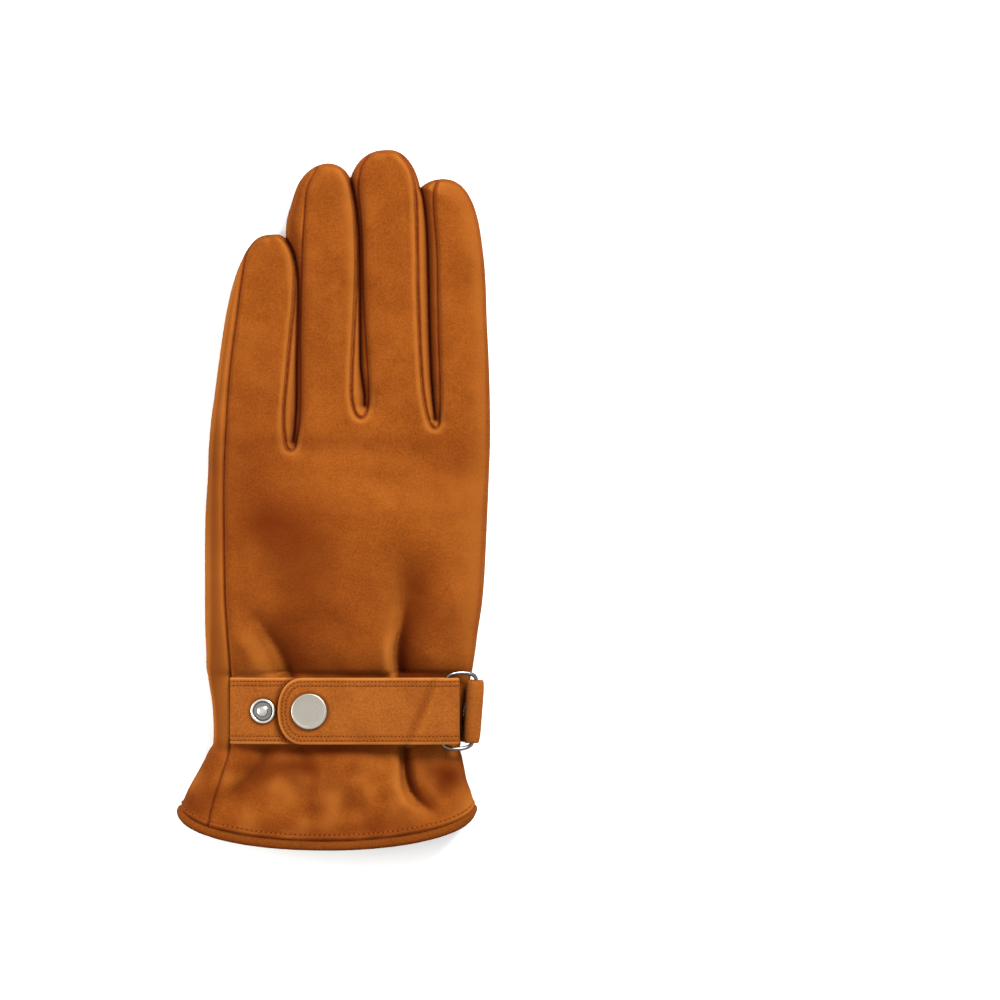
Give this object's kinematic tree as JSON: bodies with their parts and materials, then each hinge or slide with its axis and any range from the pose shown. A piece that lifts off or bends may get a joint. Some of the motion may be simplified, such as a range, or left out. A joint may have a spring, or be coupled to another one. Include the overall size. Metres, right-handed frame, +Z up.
{
  "type": "suede glove",
  "caption": "Man's suede dress glove for the left hand, lying palm down, with sewn finger strips, a bound flared cuff and a snap strap through a ring.",
  "frame": {"origin": "on the surface the glove lies on, under the middle of its outline seen from above", "axes": "+Y from the cuff towards the fingertips, +Z up from the palm to the back, +X towards the index finger's edge"},
  "size_m": [0.1134, 0.2514, 0.0254],
  "materials": {
    "suede": "tan suede with a short nap",
    "suede_strip": "tan suede, a little darker where it lies folded between the fingers",
    "suede_binding": "tan suede, folded and rubbed along its edge",
    "suede_strap": "tan suede, doubled and stitched",
    "polished_steel": "bright plated metal",
    "satin_steel": "satin plated metal, plain"
  },
  "bodies": {
    "root": {"back_panel": "suede", "palm_panel": "suede", "fourchette_little_ring": "suede_strip", "fourchette_ring_middle": "suede_strip", "fourchette_middle_index": "suede_strip", "thumb": "suede", "cuff_binding": "suede_binding", "strap": "suede_strap", "strap_ring": "polished_steel", "ring_tab": "suede_strap", "stud_open": "polished_steel", "stud_fastened": "polished_steel", "snap_cap": "satin_steel"}
  },
  "joints": []
}
